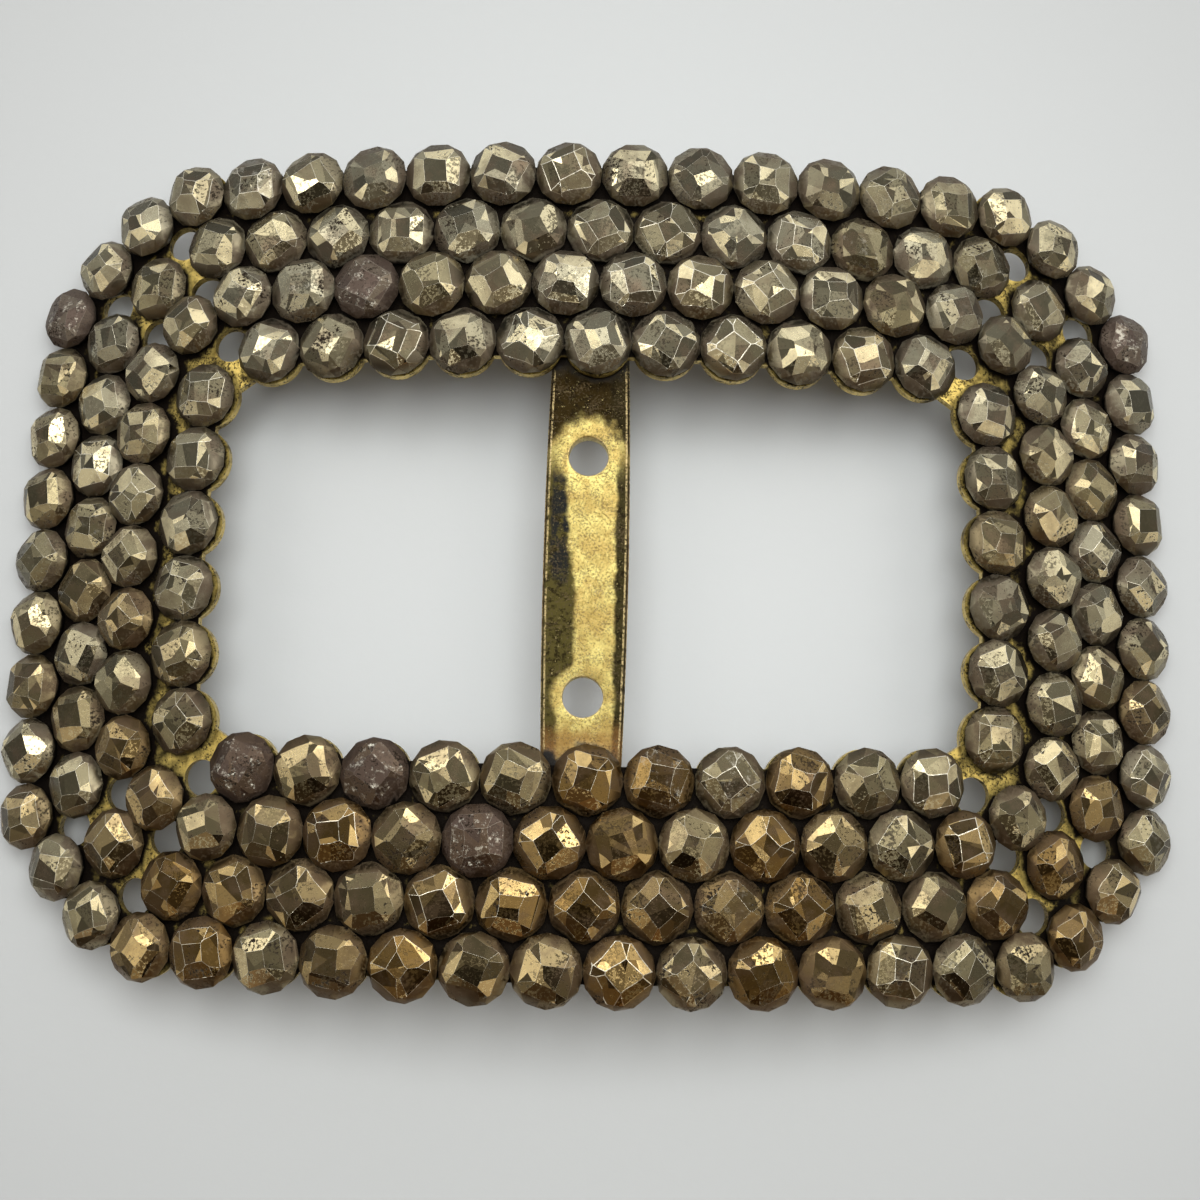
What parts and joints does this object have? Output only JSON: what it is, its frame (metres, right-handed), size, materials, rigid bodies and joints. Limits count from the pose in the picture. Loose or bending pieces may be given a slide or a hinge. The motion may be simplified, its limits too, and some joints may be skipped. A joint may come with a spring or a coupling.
{
  "type": "slider belt buckle",
  "caption": "Curved rectangular slider buckle: gilt brass plate covered with faceted steel stud heads, and a flat bar across the window for a belt or sash.",
  "frame": {"origin": "on the surface the buckle lies on, under the middle of the plate", "axes": "+X along the belt, +Y along the bar, +Z out of the front, away from the wearer"},
  "size_m": [0.0738, 0.051, 0.0099],
  "materials": {
    "gilt_plate": "matt gilt, tarnished in the hollows",
    "gilt_bar": "rubbed gilt with dark brown and greenish tarnish",
    "cut_steel": "ground facets, yellowed by age, pitted, with brown rust and thin bright edges"
  },
  "bodies": {
    "root": {"back_plate": "gilt_plate", "crossbar": "gilt_bar", "inner_studs": "cut_steel", "outer_studs": "cut_steel"}
  },
  "joints": []
}
